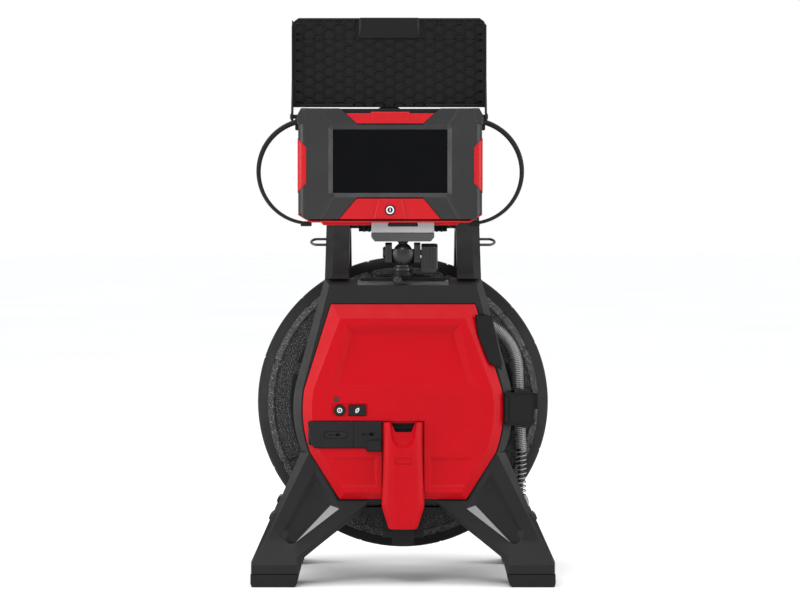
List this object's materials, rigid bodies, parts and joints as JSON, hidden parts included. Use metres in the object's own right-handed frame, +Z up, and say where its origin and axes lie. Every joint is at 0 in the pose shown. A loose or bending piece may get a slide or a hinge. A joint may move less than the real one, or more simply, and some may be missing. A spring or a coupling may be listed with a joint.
{
  "type": "pipe inspection camera",
  "caption": "Pipe inspection camera: cable drum in a four-legged frame, pull-out control hub with battery, tilting monitor with folding visor, and a camera head on a spring.",
  "frame": {"origin": "on the ground under the middle of the four feet", "axes": "+Z up, -Y towards the person who faces the display, +X to that person's right"},
  "size_m": [0.426, 0.352, 0.797],
  "materials": {
    "red_plastic": "satin moulded plastic, painted red",
    "black_plastic": "fine spark-eroded texture",
    "drum_plastic": "coarse speckled moulded texture",
    "soft_black": "soft moulded rubber",
    "grey_plastic": "light grey moulded plastic",
    "bright_steel": "bright drawn wire",
    "bearing_steel": "ground bearing steel",
    "cast_aluminium": "bead-blasted casting",
    "display_glass": "dark glossy display",
    "clear_glass": "clear window",
    "board": "green solder mask",
    "cable_jacket": "smooth push cable jacket"
  },
  "bodies": {
    "stand": {"front_frame": "black_plastic", "front_legs": "black_plastic", "rear_frame": "black_plastic", "rear_legs": "black_plastic", "front_feet": "soft_black", "rear_feet": "soft_black", "latch_keel": "black_plastic", "handle_arms": "black_plastic", "handle_bar": "cast_aluminium", "handle_grip": "soft_black", "bearing_inner_races": "bearing_steel", "drum_axle": "bearing_steel", "slip_ring_stator": "black_plastic", "cable_spring": "bright_steel", "push_cable_lead": "cable_jacket", "camera_head": "bright_steel", "head_window": "clear_glass", "head_dock": "black_plastic", "cable_exit_cover": "black_plastic", "cable_exit_guide": "black_plastic", "cable_clip_base": "black_plastic", "strap_rings": "bright_steel", "mount_base": "black_plastic"},
    "drum": {"drum_front_shell": "drum_plastic", "drum_rear_shell": "drum_plastic", "drum_bearing_housing": "black_plastic", "bearing_outer_races": "bearing_steel", "slip_ring_rotor": "black_plastic", "push_cable_coil": "cable_jacket"},
    "control_hub": {"hub_cover": "red_plastic", "hub_housing": "black_plastic", "hub_circuit_board": "board", "port_sockets": "bright_steel", "status_light": "soft_black", "latch_bracket": "black_plastic", "latch_pin": "bearing_steel"},
    "port_flap": {"port_cover": "soft_black"},
    "hub_power_key": {"hub_power_button": "soft_black"},
    "zero_key": {"zero_button": "soft_black"},
    "latch": {"latch_lever": "red_plastic"},
    "battery": {"battery_case": "black_plastic", "battery_base": "red_plastic"},
    "battery_key_right": {"battery_button_right": "red_plastic"},
    "battery_key_left": {"battery_button_left": "red_plastic"},
    "clip_door": {"cable_clip_door": "black_plastic"},
    "pan_lock": {"mount_lock_screw": "black_plastic"},
    "mount_turn": {"mount_housing": "black_plastic"},
    "clamp": {"clamp_lever": "black_plastic"},
    "mount_tilt": {"tilt_ball": "cast_aluminium", "monitor_cradle": "grey_plastic"},
    "monitor": {"monitor_bezel": "black_plastic", "monitor_back": "black_plastic", "display_panel": "display_glass", "monitor_trim": "red_plastic", "visor_pins": "black_plastic", "hand_straps": "soft_black"},
    "monitor_key": {"monitor_power_button": "soft_black"},
    "visor": {"visor": "black_plastic"}
  },
  "joints": [
    {"name": "drum_spin", "type": "hinge", "parent": "stand", "child": "drum", "pos_m": [0, 0, 0.252], "axis": [0, 1, 0], "continuous": true},
    {"name": "hub_pull", "type": "slide", "parent": "stand", "child": "control_hub", "axis": [0, -1, 0], "range_m": [0, 0.15]},
    {"name": "port_flap_hinge", "type": "hinge", "parent": "control_hub", "child": "port_flap", "pos_m": [-0.1308, -0.1505, 0.21], "axis": [0, 0, -1], "range_deg": [0, 80]},
    {"name": "hub_power_press", "type": "slide", "parent": "control_hub", "child": "hub_power_key", "axis": [0, 1, 0], "range_m": [0, 0.0012], "stiffness_N_per_m": 600, "springref_m": -0.0008},
    {"name": "zero_press", "type": "slide", "parent": "control_hub", "child": "zero_key", "axis": [0, 1, 0], "range_m": [0, 0.0012], "stiffness_N_per_m": 600, "springref_m": -0.0008},
    {"name": "latch_swing", "type": "hinge", "parent": "control_hub", "child": "latch", "pos_m": [0, -0.1475, 0.092], "axis": [1, 0, 0], "range_deg": [0, 80]},
    {"name": "battery_lift", "type": "slide", "parent": "control_hub", "child": "battery", "axis": [0, 0, 1], "range_m": [0, 0.03]},
    {"name": "battery_key_right_press", "type": "slide", "parent": "battery", "child": "battery_key_right", "axis": [-1, 0, 0], "range_m": [0, 0.002], "stiffness_N_per_m": 700, "springref_m": -0.0008},
    {"name": "battery_key_left_press", "type": "slide", "parent": "battery", "child": "battery_key_left", "axis": [1, 0, 0], "range_m": [0, 0.002], "stiffness_N_per_m": 700, "springref_m": -0.0008},
    {"name": "clip_door_hinge", "type": "hinge", "parent": "stand", "child": "clip_door", "pos_m": [0.145, -0.1494, 0.2477], "axis": [0, 0, -1], "range_deg": [0, 100]},
    {"name": "pan_lock_turn", "type": "hinge", "parent": "stand", "child": "pan_lock", "pos_m": [-0.008, -0.15, 0.4285], "axis": [0, -1, 0], "range_deg": [-180, 180]},
    {"name": "mount_pan", "type": "hinge", "parent": "stand", "child": "mount_turn", "pos_m": [0, -0.126, 0.45], "axis": [0, 0, 1], "range_deg": [-15, 15]},
    {"name": "clamp_lever_turn", "type": "hinge", "parent": "mount_turn", "child": "clamp", "pos_m": [0.03, -0.126, 0.467], "axis": [-1, 0, 0], "range_deg": [0, 60]},
    {"name": "mount_tilt_swing", "type": "hinge", "parent": "mount_turn", "child": "mount_tilt", "pos_m": [0, -0.126, 0.467], "axis": [1, 0, 0], "range_deg": [-15, 30]},
    {"name": "monitor_rail_slide", "type": "slide", "parent": "mount_tilt", "child": "monitor", "axis": [1, 0, 0], "range_m": [-0.03, 0.08]},
    {"name": "monitor_power_press", "type": "slide", "parent": "monitor", "child": "monitor_key", "axis": [0, 1, 0], "range_m": [0, 0.0012], "stiffness_N_per_m": 600, "springref_m": -0.0008},
    {"name": "visor_fold", "type": "hinge", "parent": "monitor", "child": "visor", "pos_m": [-0.0195, -0.148, 0.657], "axis": [1, 0, 0], "range_deg": [0, 175]}
  ]
}
